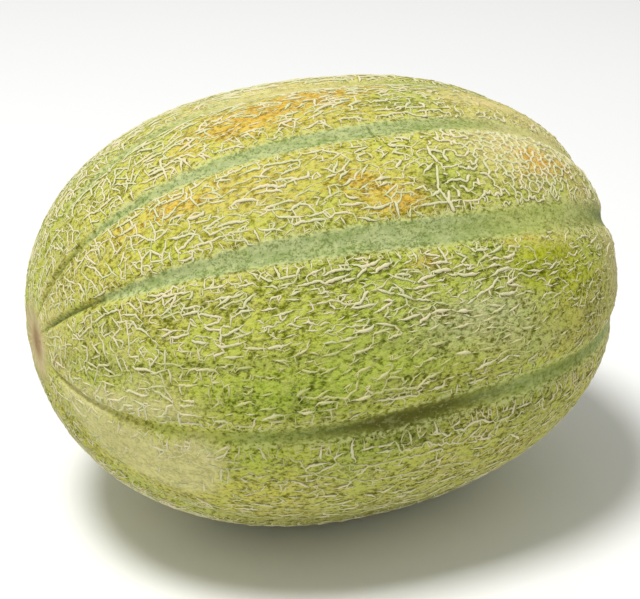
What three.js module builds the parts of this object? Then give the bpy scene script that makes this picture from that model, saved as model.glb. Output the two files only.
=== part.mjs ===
// A netted cantaloupe melon lying on its side, grown as one piece: the rind with its pale
// sutures in shallow grooves, the raised corky net between them, the blossom scar at -X and
// the stem scar at +X. Millimetres, +Z up. X is the long axis, and the origin lies under the
// middle of the melon, on the surface that it rests on.
// The net is drawn about twice as coarse as it grows, so that each cord is a clean ridge.

import * as THREE from "three";
import { ConvexHull } from "three/addons/math/ConvexHull.js";

// Body
const LENGTH = 189.4; // blossom end to stem end
const WIDTH = 150.6;
const HEIGHT = 138.2;
const BLOSSOM_FULLNESS = 2.22; // superellipse power of the long profile at each end
const STEM_FULLNESS = 2.33;
const FULLNESS_BLEND = 0.35; // share of the half length over which one end turns into the other
const END_LIFT = 2.6; // how far both ends curve up against the middle
const LIFT_LEVEL = 0.3; // share of END_LIFT by which the middle hangs
const FLAT_DEPTH = 1.5; // what the resting spot takes off the lowest skin

// Sutures: smooth bands that run from end to end. Angles in degrees round the long axis,
// 0 at -Y and 90 on top; bow is added at mid length, sway bends the band like an S.
const SUTURES = [
  { longitude: -143, bow: 2, sway: 1 },
  { longitude: -108, bow: -1, sway: -1 },
  { longitude: -75, bow: 1, sway: 1 },
  { longitude: -45.6, bow: -0.5, sway: 0.8 },
  { longitude: -9.7, bow: 7.2, sway: 1.2 },
  { longitude: 38.4, bow: -1.3, sway: -1.4 },
  { longitude: 67.2, bow: 0.7, sway: 0.5 },
  { longitude: 95.9, bow: 2.4, sway: -0.9 },
  { longitude: 138, bow: -2, sway: 1 },
  { longitude: 178, bow: 1, sway: -1 },
];
const BAND_HALF_WIDTH = 4.6; // at its widest, a little towards the stem end
const BAND_LEAST = 0.7;
const BAND_WIDEST_AT = 0.35; // share of the half length
const GROOVE_DEPTH = 1.6;
const GROOVE_SPREAD = 1.35; // width of the groove's flanks against the band's half width

// Net
const NET_HEIGHT = 1.1;
const NET_HALF_WIDTH = 1.25;
const NET_VARIATION = 0.25; // share by which height and place vary from cord to cord
const CELL_WIDTH = 9.6; // across a rib
const CELL_ROWS = 18; // from end to end
const CELL_STAGGER = 0.3; // share of a row by which cells on a rib lie before or behind it
const CELL_JITTER = 0.22; // share of a cell
const FLANK_LOOSENESS = 0.35; // what is left of both beside a suture, so that it isn't crossed
const GAP_CHANCE = 0.07; // cords that never joined up
const NET_SEED = 20;

// Ends and resting side
const BLOSSOM_SCAR_RADIUS = 10.5;
const STEM_SCAR_RADIUS = 7;
const SCAR_RIM = 0.7; // rise of the scar's rim above the skin
const SCAR_DISH = 1; // how far its middle lies under the skin
const FIRST_RING = 19; // distance of the first cells from each end's axis
const LAST_RING = 15;
const WORN_RADIUS = 34; // round the resting spot, where the net stayed low
const WORN_HEIGHT = 0.3; // share of the net's height that is left there

const HALF_LENGTH = LENGTH / 2;
const MEAN_RADIUS = (WIDTH + HEIGHT) / 4;
const OVAL = (WIDTH - HEIGHT) / (WIDTH + HEIGHT);
const TURN = 2 * Math.PI;

function seededRandom(seed) {
  let state = seed;
  return () => {
    state = (state * 1664525 + 1013904223) % 4294967296;
    return state / 4294967296;
  };
}
const random = seededRandom(NET_SEED);
const jitter = (amount) => (2 * random() - 1) * amount;

const wrap = (angle) => angle - TURN * Math.round(angle / TURN);

// ---- Shape of the rind ----

// A place on the rind is a station, -1 at the blossom end and 1 at the stem end, and a
// longitude in radians.
function profile(station) {
  const side = Math.sqrt(Math.max(0, 1 - station * station));
  const blend = 0.5 * (1 + Math.tanh(station / FULLNESS_BLEND));
  const power = THREE.MathUtils.lerp(BLOSSOM_FULLNESS, STEM_FULLNESS, blend);
  const scale = (Math.abs(station) ** power + side ** power) ** (-1 / power);
  return { along: station * scale, out: side * scale };
}

function radiusAt(station, longitude) {
  return MEAN_RADIUS * profile(station).out * (1 + OVAL * Math.cos(2 * longitude));
}

function sutureLongitude(suture, station) {
  const { longitude, bow, sway } = suture;
  const bend = bow * (1 - station * station) + sway * Math.sin(Math.PI * station);
  return THREE.MathUtils.degToRad(longitude + bend);
}

function bandHalfWidth(station) {
  const { along } = profile(station);
  const toBlossom = Math.max(0, BAND_WIDEST_AT - along) / (1 + BAND_WIDEST_AT);
  const toStem = Math.max(0, along - BAND_WIDEST_AT) / 0.75;
  const share = 1 - toBlossom ** 2.2 - toStem ** 4;
  return Math.max(BAND_LEAST, BAND_HALF_WIDTH * share);
}

function grooveDepth(station, longitude) {
  const radius = radiusAt(station, longitude);
  const spread = GROOVE_SPREAD * bandHalfWidth(station);
  let depth = 0;
  for (const suture of SUTURES) {
    const across = wrap(longitude - sutureLongitude(suture, station)) * radius;
    depth = Math.max(depth, GROOVE_DEPTH * Math.exp(-((across / spread) ** 2)));
  }
  const scarRadius = station < 0 ? BLOSSOM_SCAR_RADIUS : STEM_SCAR_RADIUS;
  return depth * THREE.MathUtils.smoothstep(radius, scarRadius, 2 * scarRadius);
}

// The point of the rind at a place, raised along the skin's normal.
function rindPoint(station, longitude, raise = 0) {
  const { along } = profile(station);
  const radius = radiusAt(station, longitude);
  const across = new THREE.Vector2(-Math.cos(longitude), Math.sin(longitude));
  across.multiplyScalar(radius);
  const point = new THREE.Vector3(HALF_LENGTH * along, across.x, across.y);
  const normal = new THREE.Vector3(
    point.x / HALF_LENGTH ** 2,
    point.y / MEAN_RADIUS ** 2,
    point.z / MEAN_RADIUS ** 2,
  ).normalize();
  point.z += END_LIFT * (along * along - LIFT_LEVEL);
  return point.addScaledVector(normal, raise - grooveDepth(station, longitude));
}

const direction = (station, longitude) => {
  const side = Math.sqrt(Math.max(0, 1 - station * station));
  return new THREE.Vector3(station, -side * Math.cos(longitude), side * Math.sin(longitude));
};
const placeOf = (unit) => ({ station: unit.x, longitude: Math.atan2(unit.z, -unit.y) });

// The station at which the rind is a given distance from the long axis.
function stationAtRadius(radius, end) {
  let low = 0;
  let high = 1;
  for (let i = 0; i < 40; i++) {
    const middle = (low + high) / 2;
    if (MEAN_RADIUS * profile(end * middle).out > radius) low = middle;
    else high = middle;
  }
  return end * low;
}

// ---- Cells of the net ----

// Seeds of the cells: one in each scar, a row down each suture, and staggered rows on the
// ribs between them.
function cellSeeds() {
  const seeds = [
    { unit: new THREE.Vector3(-1, 0, 0), scar: BLOSSOM_SCAR_RADIUS, suture: null },
    { unit: new THREE.Vector3(1, 0, 0), scar: STEM_SCAR_RADIUS, suture: null },
  ];
  const first = Math.acos(-stationAtRadius(FIRST_RING, -1));
  const last = Math.PI - Math.acos(stationAtRadius(LAST_RING, 1));
  const step = (last - first) / (CELL_ROWS - 1);
  for (let row = 0; row < CELL_ROWS; row++) {
    const polar = first + row * step;
    const atEnd = row === 0 || row === CELL_ROWS - 1;
    SUTURES.forEach((suture, i) => {
      const station = -Math.cos(polar);
      const from = sutureLongitude(suture, station);
      seeds.push({ unit: direction(station, from), scar: 0, suture });
      const next = SUTURES[(i + 1) % SUTURES.length];
      const turn = (sutureLongitude(next, station) - from + TURN) % TURN;
      const edge = bandHalfWidth(station) / radiusAt(station, from);
      const free = turn - 2 * edge;
      const count = Math.max(1, Math.round((free * radiusAt(station, from)) / CELL_WIDTH));
      for (let k = 0; k < count; k++) {
        const onFlank = k === 0 || k === count - 1;
        const loose = atEnd ? 0 : onFlank ? FLANK_LOOSENESS : 1;
        const stagger = count === 1 ? 0 : (k % 2 ? 1 : -1) * CELL_STAGGER;
        const place = -Math.cos(polar + loose * (stagger + jitter(CELL_JITTER)) * step);
        const share = (k + 0.5 + loose * jitter(CELL_JITTER)) / count;
        const longitude = from + edge + free * share;
        seeds.push({ unit: direction(place, longitude), scar: 0, suture: null });
      }
    });
  }
  return seeds;
}

// The hull of seeds on a sphere joins neighbouring cells, so each of its triangles is a
// junction of the net, where three cells meet.
function junctionsOf(seeds) {
  const index = new Map(seeds.map((seed, i) => [seed.unit, i]));
  const hull = new ConvexHull().setFromPoints(seeds.map((seed) => seed.unit));
  return hull.faces.map((face) => {
    const cells = [];
    let edge = face.edge;
    do {
      cells.push(index.get(edge.head().point));
      edge = edge.next;
    } while (edge !== face.edge);
    return { cells, ...junctionPlace(cells.map((cell) => seeds[cell])) };
  });
}

// Junctions beside a suture are drawn to the band's edge, those round a scar to its rim.
function junctionPlace(around) {
  const unit = around.reduce((sum, seed) => sum.add(seed.unit), new THREE.Vector3()).normalize();
  const place = placeOf(unit);
  const scar = around.find((seed) => seed.scar);
  if (scar) {
    place.station = stationAtRadius(scar.scar, Math.sign(scar.unit.x));
    return place;
  }
  const sutures = new Set(around.map((seed) => seed.suture).filter(Boolean));
  const banded = sutures.size === 1 && around.find((seed) => seed.suture);
  if (banded) {
    const middle = sutureLongitude(banded.suture, place.station);
    const side = Math.sign(
      around
        .filter((seed) => seed.suture !== banded.suture)
        .reduce((sum, seed) => sum + wrap(placeOf(seed.unit).longitude - middle), 0),
    );
    const edge = bandHalfWidth(place.station) * (1 + jitter(NET_VARIATION / 2));
    place.longitude = middle + (side * edge) / radiusAt(place.station, middle);
  }
  return place;
}

// ---- The rind's surface, cords included ----

const isSmooth = (one, other) =>
  one.suture ? one.suture === other.suture || other.scar > 0 : one.scar > 0 && other.suture;

// Pairs of cells with no cord between them: along the sutures, and here and there on the
// ribs, though never two gaps at one junction.
function gapsInNet(seeds, junctionLeftOf) {
  const gaps = new Set();
  const parted = new Set();
  const open = (a, b) => {
    gaps.add(`${a},${b}`).add(`${b},${a}`);
    parted.add(junctionLeftOf.get(`${a},${b}`)).add(junctionLeftOf.get(`${b},${a}`));
  };
  const pairs = [...junctionLeftOf.keys()]
    .map((key) => key.split(",").map(Number))
    .filter(([a, b]) => a < b);
  pairs.filter(([a, b]) => isSmooth(seeds[a], seeds[b])).forEach(([a, b]) => open(a, b));
  for (const [a, b] of pairs) {
    const ends = [junctionLeftOf.get(`${a},${b}`), junctionLeftOf.get(`${b},${a}`)];
    const beside = [seeds[a], seeds[b]].some((seed) => seed.suture || seed.scar);
    const chosen = random() < GAP_CHANCE;
    if (chosen && !beside && !ends.some((end) => parted.has(end))) open(a, b);
  }
  return gaps;
}

function cordHeight(distanceToRest) {
  const kept = THREE.MathUtils.smoothstep(distanceToRest, WORN_RADIUS / 2, WORN_RADIUS);
  return NET_HEIGHT * THREE.MathUtils.lerp(WORN_HEIGHT, 1, kept) * (1 + jitter(NET_VARIATION));
}

function buildRind() {
  const seeds = cellSeeds();
  const junctions = junctionsOf(seeds);
  const lowest = lowestSkin();
  const restingSpot = new THREE.Vector3(0, 0, lowest);
  const vertices = [];
  const triangles = [];
  const addVertex = (point) => {
    vertices.push(point.x, point.y, Math.max(0, point.z - lowest - FLAT_DEPTH));
    return vertices.length / 3 - 1;
  };

  const junctionLeftOf = new Map();
  junctions.forEach(({ cells }, j) => {
    cells.forEach((cell, k) => junctionLeftOf.set(`${cell},${cells[(k + 1) % 3]}`, j));
  });
  const gaps = gapsInNet(seeds, junctionLeftOf);

  // Each junction has a crest where its cords meet, and a foot in every corner between
  // them. Two cells with no cord between them share a foot.
  for (const junction of junctions) {
    const { cells, station, longitude } = junction;
    const skin = rindPoint(station, longitude);
    const unit = direction(station, longitude);
    const onScar = cells.some((cell) => seeds[cell].scar);
    const height = onScar ? SCAR_RIM : cordHeight(skin.distanceTo(restingSpot));
    junction.crest = addVertex(rindPoint(station, longitude, height));
    junction.foot = new Map();
    const first = cells.findIndex((cell, k) => gaps.has(`${cell},${cells[(k + 1) % 3]}`));
    const around = [0, 1, 2].map((k) => cells[(Math.max(first, 0) + k) % 3]);
    const corners = first < 0 ? around.map((cell) => [cell]) : [around.slice(0, 2), around.slice(2)];
    for (const corner of corners) {
      const into = new THREE.Vector3();
      for (const cell of corner) {
        const { station: at, longitude: along } = placeOf(seeds[cell].unit);
        into.add(rindPoint(at, along).sub(skin).normalize());
      }
      const foot = placeOf(moved(unit, into.setLength(NET_HALF_WIDTH)));
      const vertex = addVertex(rindPoint(foot.station, foot.longitude));
      corner.forEach((cell) => junction.foot.set(cell, vertex));
    }
  }

  // Each cell is a fan from its middle to the feet round it, and each cord two strips from
  // its crest down to the feet.
  seeds.forEach((seed, cell) => {
    const { station, longitude } = placeOf(seed.unit);
    const middle = addVertex(rindPoint(station, longitude, seed.scar ? -SCAR_DISH : 0));
    const ring = ringRound(cell, junctions, junctionLeftOf);
    ring.forEach(({ junction, next }, k) => {
      const after = ring[(k + 1) % ring.length].junction;
      const [foot, footAfter] = [junction.foot.get(cell), after.foot.get(cell)];
      triangles.push(foot, footAfter, middle);
      if (!gaps.has(`${cell},${next}`)) {
        triangles.push(junction.crest, after.crest, footAfter, junction.crest, footAfter, foot);
      }
    });
  });
  return { vertices, triangles };
}

// A direction moved by a few millimetres along the rind.
function moved(unit, offset) {
  const scale = new THREE.Vector3(1 / HALF_LENGTH, 1 / MEAN_RADIUS, 1 / MEAN_RADIUS);
  return unit.clone().add(offset.clone().multiply(scale)).normalize();
}

// The junctions round a cell in counterclockwise order, each with the neighbour that lies
// across the cord to the one after it.
function ringRound(cell, junctions, junctionLeftOf) {
  const start = junctions.find(({ cells }) => cells.includes(cell));
  const ring = [];
  let junction = start;
  do {
    const at = junction.cells.indexOf(cell);
    const next = junction.cells[(at + 2) % 3];
    ring.push({ junction, next });
    junction = junctions[junctionLeftOf.get(`${cell},${next}`)];
  } while (junction !== start);
  return ring;
}

function lowestSkin() {
  let lowest = Infinity;
  for (let station = -0.5; station <= 0.5; station += 0.01) {
    for (let longitude = -TURN / 3; longitude <= -TURN / 6; longitude += 0.01) {
      lowest = Math.min(lowest, rindPoint(station, longitude).z);
    }
  }
  return lowest;
}

function meshGeometry({ vertices, triangles }) {
  const geometry = new THREE.BufferGeometry();
  geometry.setAttribute("position", new THREE.Float32BufferAttribute(vertices, 3));
  geometry.setIndex(triangles);
  geometry.computeBoundingBox();
  const { x, y } = geometry.boundingBox.getCenter(new THREE.Vector3());
  geometry.translate(-x, -y, 0);
  geometry.computeVertexNormals();
  return geometry;
}

const rindMaterial = new THREE.MeshStandardMaterial({
  color: new THREE.Color(0.66, 0.68, 0.38),
  roughness: 0.62,
  metalness: 0,
});

const melon = new THREE.Group();
const body = new THREE.Mesh(meshGeometry(buildRind()), rindMaterial);
body.name = "melon";
melon.add(body);

export default melon;
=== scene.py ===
# A netted cantaloupe melon lying on a pale floor: the rind with its sutures and scars, and
# the raised corky net, grown cord by cord over the ribs. Sizes are in millimetres until a
# mesh is made.
import random
from math import acos, atan2, cos, dist, exp, hypot, pi, radians, sin

import bpy
import numpy as np
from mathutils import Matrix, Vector
from mathutils.geometry import delaunay_2d_cdt


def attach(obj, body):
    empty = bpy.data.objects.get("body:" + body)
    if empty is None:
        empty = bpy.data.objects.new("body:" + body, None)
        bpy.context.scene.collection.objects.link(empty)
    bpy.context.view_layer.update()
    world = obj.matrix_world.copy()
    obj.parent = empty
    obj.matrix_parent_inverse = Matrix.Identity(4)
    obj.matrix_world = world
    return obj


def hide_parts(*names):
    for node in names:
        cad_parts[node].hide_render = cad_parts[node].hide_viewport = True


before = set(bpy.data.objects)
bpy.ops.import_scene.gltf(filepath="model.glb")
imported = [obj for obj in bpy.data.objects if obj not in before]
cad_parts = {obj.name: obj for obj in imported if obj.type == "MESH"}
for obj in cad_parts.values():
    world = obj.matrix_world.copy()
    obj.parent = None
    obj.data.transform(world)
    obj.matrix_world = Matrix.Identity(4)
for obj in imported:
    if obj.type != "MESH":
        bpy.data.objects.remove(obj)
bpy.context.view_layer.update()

mm = 0.001
fullTurn = 2 * pi
farOff = 99    # mm, more than any distance on the skin


# Node trees are written as Python expressions.
def operator(operation, swapped=False):
    # the method behind one of Python's operators, which adds a Math node
    def run(self, other):
        values = (other, self) if swapped else (self, other)
        return self.graph.number(operation, *values)
    return run


class Value:
    # a socket that Python's operators work on
    __add__, __radd__ = operator("ADD"), operator("ADD", True)
    __sub__, __rsub__ = operator("SUBTRACT"), operator("SUBTRACT", True)
    __mul__, __rmul__ = operator("MULTIPLY"), operator("MULTIPLY", True)
    __truediv__, __rtruediv__ = operator("DIVIDE"), operator("DIVIDE", True)

    def __init__(self, graph, socket):
        self.graph = graph
        self.socket = socket

    def __neg__(self):
        return self * -1


class Graph:
    def __init__(self, tree):
        self.tree = tree

    def find(self, sockets, key):
        # by number, identifier or name
        if isinstance(key, int):
            return sockets[key]
        named = [s for s in sockets if s.identifier == key]
        return (named or [s for s in sockets if s.name == key and s.enabled])[0]

    def add(self, kind, inputs=None, output=0, **settings):
        node = self.tree.nodes.new(kind)
        for name, setting in settings.items():
            setattr(node, name, setting)
        for key, value in (inputs or {}).items():
            socket = self.find(node.inputs, key)
            if isinstance(value, Value):
                self.tree.links.new(value.socket, socket)
            else:
                socket.default_value = value
        return Value(self, self.find(node.outputs, output)) if node.outputs else None

    def number(self, operation, *values):
        return self.add("ShaderNodeMath", dict(enumerate(values)), operation=operation)

    def vector(self, operation, first, second):
        # SCALE takes a number second, and the others a vector
        key = "Scale" if operation == "SCALE" else 1
        return self.add("ShaderNodeVectorMath", {0: first, key: second}, operation=operation)

    def combine(self, x, y, z=0):
        return self.add("ShaderNodeCombineXYZ", {0: x, 1: y, 2: z})

    def separate(self, vector, axis):
        return self.add("ShaderNodeSeparateXYZ", {0: vector}, axis)

    def attribute(self, name):
        return self.add("ShaderNodeAttribute", {}, "Fac", attribute_name=name)

    def store(self, geometry, name, value):
        inputs = {"Geometry": geometry, "Name": name, "Value": value}
        return self.add("GeometryNodeStoreNamedAttribute", inputs, data_type="FLOAT", domain="POINT")

    def mix(self, factor, first, second, blend="MIX"):
        inputs = {"Factor_Float": factor, "A_Color": first, "B_Color": second}
        settings = {"data_type": "RGBA", "blend_type": blend, "clamp_factor": True}
        return self.add("ShaderNodeMix", inputs, "Result_Color", **settings)

    def ramp(self, value, low, high):
        # 0 below low, 1 above high, smooth between
        inputs = {"Value": value, "From Min": low, "From Max": high}
        return self.add("ShaderNodeMapRange", inputs, interpolation_type="SMOOTHSTEP")

    def drawnOut(self, place, share):
        # coordinates on which a pattern is that share as wide as it is long
        return self.add("ShaderNodeMapping", {"Vector": place, "Scale": (share, 1, 1)})

    def noise(self, place, size, detail=2, roughness=0.5):
        # size is a feature's size in mm, on coordinates in metres
        inputs = {"Vector": place, "Scale": 1 / (size * mm), "Detail": detail, "Roughness": roughness}
        return self.add("ShaderNodeTexNoise", inputs, "Fac")


def either(operation, plain):
    # one function for sockets of a node tree and for plain numbers
    def run(*values):
        sockets = [value for value in values if isinstance(value, Value)]
        return sockets[0].graph.number(operation, *values) if sockets else plain(*values)
    return run


sine = either("SINE", np.sin)
cosine = either("COSINE", np.cos)
hyperbolicTangent = either("TANH", np.tanh)
magnitude = either("ABSOLUTE", np.abs)
power = either("POWER", np.power)
smaller = either("MINIMUM", np.minimum)
larger = either("MAXIMUM", np.maximum)
exponential = either("EXPONENT", np.exp)
flooring = either("FLOOR", np.floor)


def wrapped(angle):
    return angle - fullTurn * flooring(angle / fullTurn + 0.5)


# Shape of the melon, with the same driving sizes as its solid.
form = {
    "length": 189.4,
    "width": 150.6,
    "height": 138.2,
    "blossomFullness": 2.22,   # superellipse power of each end
    "stemFullness": 2.33,
    "fullnessBlend": 0.35,
    "endLift": 2.6,
    "liftLevel": 0.3,
    "flatDepth": 1.5,          # taken off the lowest skin
    "grooveDepth": 1.6,
    "grooveSpread": 1.35,      # groove's width against the band's half width
    "bandHalfWidth": 4.6,
    "bandWidestAt": 0.35,      # on the long axis, from -1 to 1
    "bandStemReach": 0.75,     # from there to where a band is at its least
    "bandStemNarrowing": 4,
    "blossomScarRadius": 10.5,
    "stemScarRadius": 7.0,
    "scarBlend": 8,            # how sharply one end's scar radius gives way to the other's
}
# of a band's groove and its colour, which stays wide for longer: the least half width, and
# the power by which it narrows towards the blossom end
bandParts = {"groove": (0.7, 2.2), "paint": (1.1, 2.9)}
# longitude round the long axis from -Y over the top, bow and sway, in degrees
sutures = [
    (-143, 2, 1), (-108, -1, -1), (-75, 1, 1), (-45.6, -0.5, 0.8), (-9.7, 7.2, 1.2),
    (38.4, -1.3, -1.4), (67.2, 0.7, 0.5), (95.9, 2.4, -0.9), (138, -2, 1), (178, 1, -1),
]
# of each painted band, in the same order: its width against the groove's, and how far it lies
# to the side of the groove's middle, in degrees
bandPaint = [
    (1, 0), (0.9, 0), (1, 0), (0.8, 0), (0.75, -0.7),
    (1.05, 0.1), (0.66, 0.9), (0.7, 0.3), (1, 0), (0.9, 0),
]
sutureAngles = [radians(longitude) for longitude, _, _ in sutures]
firstLongitude = sutureAngles[0]
meanRadius = (form["width"] + form["height"]) / 4
oval = (form["width"] - form["height"]) / (form["width"] + form["height"])
halfLength = form["length"] / 2


# A place on the skin is a polar angle, 0 at the blossom end and pi at the stem end, and an
# angle around, on which every suture keeps its own value from end to end.
def profile(polar):
    level = -cosine(polar)
    side = sine(polar)
    blend = 0.5 + 0.5 * hyperbolicTangent(level / form["fullnessBlend"])
    fullness = form["blossomFullness"] + (form["stemFullness"] - form["blossomFullness"]) * blend
    total = power(magnitude(level), fullness) + power(side, fullness)
    scale = power(total, -1 / fullness)
    return level, level * scale, side * scale


def sutureOffsets(around):
    return [wrapped(around - angle) for angle in sutureAngles]


def bendAt(offsets, level):
    # bow and sway pass from each suture to the next in proportion
    angles = sutureAngles
    bow = 0
    sway = 0
    for i, (_, bowHere, swayHere) in enumerate(sutures):
        ahead = (angles[(i + 1) % len(angles)] - angles[i]) % fullTurn
        behind = (angles[i] - angles[i - 1]) % fullTurn
        share = larger(0, 1 - larger(offsets[i] / ahead, offsets[i] / -behind))
        bow = bow + share * radians(bowHere)
        sway = sway + share * radians(swayHere)
    return bow * (1 - level * level) + sway * sine(pi * level)


def halfWidthOf(part, along):
    least, narrowing = bandParts[part]
    widestAt = form["bandWidestAt"]
    toBlossom = larger(0, widestAt - along) / (1 + widestAt)
    toStem = larger(0, along - widestAt) / form["bandStemReach"]
    share = 1 - power(toBlossom, narrowing) - power(toStem, form["bandStemNarrowing"])
    return larger(least, form["bandHalfWidth"] * share)


def smoothStep(value, low, high):
    share = smaller(1, larger(0, (value - low) / (high - low)))
    return share * share * (3 - 2 * share)


def skinPlace(polar, around, relief=0):
    # point of the skin in mm about the melon's middle, with what the shaders need
    level, along, out = profile(polar)
    offsets = sutureOffsets(around)
    longitude = around + bendAt(offsets, level)
    radius = meanRadius * out * (1 + oval * cosine(2 * longitude))
    halfBand = halfWidthOf("groove", along)
    painted = halfWidthOf("paint", along)
    nearest = farOff
    bandEdge = farOff
    for offset, (share, shift) in zip(offsets, bandPaint):
        nearest = smaller(nearest, magnitude(offset))
        away = magnitude(offset - radians(shift)) * radius
        bandEdge = smaller(bandEdge, away - painted * share)
    across = nearest * radius
    groove = form["grooveDepth"] * exponential(-power(across / (form["grooveSpread"] * halfBand), 2))
    towardsBlossom = 0.5 - 0.5 * hyperbolicTangent(level * form["scarBlend"])
    wider = form["blossomScarRadius"] - form["stemScarRadius"]
    scarRadius = form["stemScarRadius"] + wider * towardsBlossom
    groove = groove * smoothStep(radius, scarRadius, 2 * scarRadius)
    point = (halfLength * along, -radius * cosine(longitude), radius * sine(longitude))
    halves = (halfLength, meanRadius, meanRadius)
    steep = [value / half**2 for value, half in zip(point, halves)]
    length = power(steep[0] * steep[0] + steep[1] * steep[1] + steep[2] * steep[2], 0.5)
    raised = relief - groove
    x, y, z = (value + raised * slope / length for value, slope in zip(point, steep))
    z = z + form["endLift"] * (along * along - form["liftLevel"])
    return {
        "point": (x, y, z),
        "bandEdge": bandEdge,
        "halfBand": halfBand,
        "radius": radius,
        "scarRadius": scarRadius,
    }


def lowestSkin():
    # looked for on a fine grid, as polar and around angle, that spans the underside
    polar, around = np.meshgrid(np.linspace(1, 2.2, 241), np.radians(np.linspace(-125, -55, 281)))
    return float(skinPlace(polar, around)["point"][2].min())


middleHeight = -lowestSkin() - form["flatDepth"]   # of the melon's middle above the floor
print(f"middle of the melon {middleHeight:.2f} mm above the floor")


rind = {
    "rows": 236,
    "columns": 400,
    "lumpSize": 24.0,
    "lumpHeight": 0.5,
    "lumpsInBand": 0.3,     # share of their height that is left on a band
    "rippleSize": 5.0,
    "rippleHeight": 0.22,
    "scarRim": 0.2,
    "scarRimWidth": 1.6,
    "scarDish": 0.5,
    "scarLumpSize": 2.6,
    "scarLumpHeight": 0.6,
    "seed": 3.0,
}


def startTree(name, inputs):
    # inputs gives each one's value or, where it has none of its own, its kind as a word
    tree = bpy.data.node_groups.new(name, "GeometryNodeTree")
    for way in ("INPUT", "OUTPUT"):
        tree.interface.new_socket(name="Geometry", in_out=way, socket_type="NodeSocketGeometry")
    for label, value in inputs.items():
        kind = {int: "Int", float: "Float"}.get(type(value), value)
        item = tree.interface.new_socket(name=label, in_out="INPUT", socket_type=f"NodeSocket{kind}")
        if kind != value:
            item.default_value = value
    graph = Graph(tree)
    source = tree.nodes.new("NodeGroupInput")
    return graph, {s.name: Value(graph, s) for s in source.outputs if s.name}


def endTree(graph, geometry, material):
    smooth = graph.add("GeometryNodeSetShadeSmooth", {"Geometry": geometry})
    real = graph.add("GeometryNodeRealizeInstances", {"Geometry": smooth})
    done = graph.add("GeometryNodeSetMaterial", {"Geometry": real, "Material": material})
    target = graph.tree.nodes.new("NodeGroupOutput")
    graph.tree.links.new(done.socket, target.inputs[0])


def newObject(name, data):
    holder = bpy.data.objects.new(name, data)
    bpy.context.scene.collection.objects.link(holder)
    return holder


def runTree(tree, name, values, lines=None):
    # the tree's result as a plain mesh object
    holder = newObject(name, lines or bpy.data.meshes.new(name))
    modifier = holder.modifiers.new(tree.name, "NODES")
    modifier.node_group = tree
    for item in tree.interface.items_tree:
        if item.in_out == "INPUT" and item.name in values:
            modifier[item.identifier] = values[item.name]
    evaluated = holder.evaluated_get(bpy.context.evaluated_depsgraph_get())
    mesh = bpy.data.meshes.new_from_object(evaluated)
    holder.modifiers.remove(modifier)
    holder.data = mesh
    mesh.name = name
    return holder


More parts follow.
